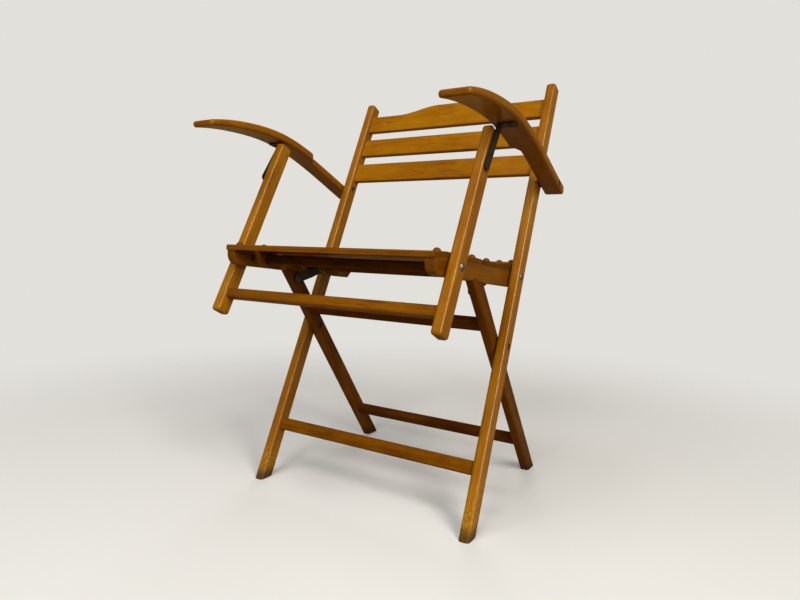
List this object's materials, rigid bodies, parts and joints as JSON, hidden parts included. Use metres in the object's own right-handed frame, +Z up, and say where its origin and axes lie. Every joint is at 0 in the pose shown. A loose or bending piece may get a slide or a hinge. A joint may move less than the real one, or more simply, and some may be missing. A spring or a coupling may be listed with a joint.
{
  "type": "folding armchair",
  "caption": "Wooden folding armchair with slatted seat and back, shaped armrests on hinged posts and crossed legs; it folds about pivot bolts.",
  "frame": {"origin": "centre of the opened chair's footprint box, on the floor", "axes": "+Z up, the chair's front faces -Y, X runs across the chair and its left-right mirror plane is X = 0"},
  "size_m": [0.576, 0.5496, 0.85],
  "materials": {
    "honey_wood": "satin lacquer over honey-coloured wood",
    "plug_wood": "satin lacquer over darker end grain",
    "bright_steel": "zinc-plated, slightly dulled",
    "black_steel": "black oxide, satin"
  },
  "bodies": {
    "back_frame": {"arm_pivot_bolts": "bright_steel", "arm_pivot_nuts": "bright_steel", "arm_pivot_washers": "bright_steel", "back_crest": "honey_wood", "back_slat_lower": "honey_wood", "back_slat_middle": "honey_wood", "foot_stretcher": "honey_wood", "leg_pivot_bolts": "bright_steel", "leg_pivot_nuts": "bright_steel", "leg_pivot_washers": "bright_steel", "long_post_left": "honey_wood", "long_post_right": "honey_wood", "seat_pivot_bolts": "bright_steel", "seat_pivot_nuts": "bright_steel", "seat_pivot_washers": "bright_steel"},
    "seat": {"front_pivot_bolts": "bright_steel", "front_pivot_nuts": "bright_steel", "front_pivot_washers": "bright_steel", "seat_cross_front": "honey_wood", "seat_cross_rear": "honey_wood", "seat_rail_left": "honey_wood", "seat_rail_right": "honey_wood", "seat_slat_1": "honey_wood", "seat_slat_2": "honey_wood", "seat_slat_3": "honey_wood", "seat_slat_4": "honey_wood", "seat_slat_5": "honey_wood", "seat_slat_6": "honey_wood", "slat_plugs": "plug_wood"},
    "arm_posts": {"arm_post_left": "honey_wood", "arm_post_right": "honey_wood", "arm_stretcher": "honey_wood", "hinge_screws": "black_steel", "hinge_washers": "bright_steel"},
    "armrest_right": {"arm_bracket_right": "black_steel", "armrest_right": "honey_wood", "bracket_screw_right": "black_steel"},
    "armrest_left": {"arm_bracket_left": "black_steel", "armrest_left": "honey_wood", "bracket_screw_left": "black_steel"},
    "rear_legs": {"leg_stretcher_lower": "honey_wood", "leg_stretcher_upper": "honey_wood", "link_screws": "black_steel", "rear_leg_left": "honey_wood", "rear_leg_right": "honey_wood"},
    "link_right": {"leg_link_right": "black_steel", "link_rivet_right": "black_steel"},
    "link_left": {"leg_link_left": "black_steel", "link_rivet_left": "black_steel"}
  },
  "joints": [
    {"name": "seat_fold", "type": "hinge", "parent": "back_frame", "child": "seat", "pos_m": [0, 0.06704, 0.438], "axis": [-1, 0, 0], "range_deg": [0, 80]},
    {"name": "arm_post_fold", "type": "hinge", "parent": "seat", "child": "arm_posts", "pos_m": [0, -0.19796, 0.465], "axis": [-1, 0, 0], "range_deg": [-80, 0]},
    {"name": "armrest_fold_right", "type": "hinge", "parent": "back_frame", "child": "armrest_right", "pos_m": [0, 0.16021, 0.626], "axis": [-1, 0, 0], "range_deg": [0, 80]},
    {"name": "armrest_fold_left", "type": "hinge", "parent": "back_frame", "child": "armrest_left", "pos_m": [0, 0.16021, 0.626], "axis": [-1, 0, 0], "range_deg": [0, 80]},
    {"name": "rear_leg_fold", "type": "hinge", "parent": "back_frame", "child": "rear_legs", "pos_m": [0, 0.01216, 0.3085], "axis": [-1, 0, 0], "range_deg": [0, 30]},
    {"name": "link_fold_right", "type": "hinge", "parent": "rear_legs", "child": "link_right", "pos_m": [0, -0.0684, 0.41937], "axis": [-1, 0, 0], "range_deg": [-62.8, 0]},
    {"name": "link_fold_left", "type": "hinge", "parent": "rear_legs", "child": "link_left", "pos_m": [0, -0.0684, 0.41937], "axis": [-1, 0, 0], "range_deg": [-62.8, 0]}
  ],
  "couplings": [
    {"joint": "arm_post_fold", "follows": "seat_fold", "ratio": -1},
    {"joint": "armrest_fold_right", "follows": "seat_fold", "ratio": 1},
    {"joint": "armrest_fold_left", "follows": "seat_fold", "ratio": 1},
    {"joint": "rear_leg_fold", "follows": "seat_fold", "ratio": 0.375},
    {"joint": "link_fold_right", "follows": "seat_fold", "ratio": -0.785},
    {"joint": "link_fold_left", "follows": "seat_fold", "ratio": -0.785}
  ]
}
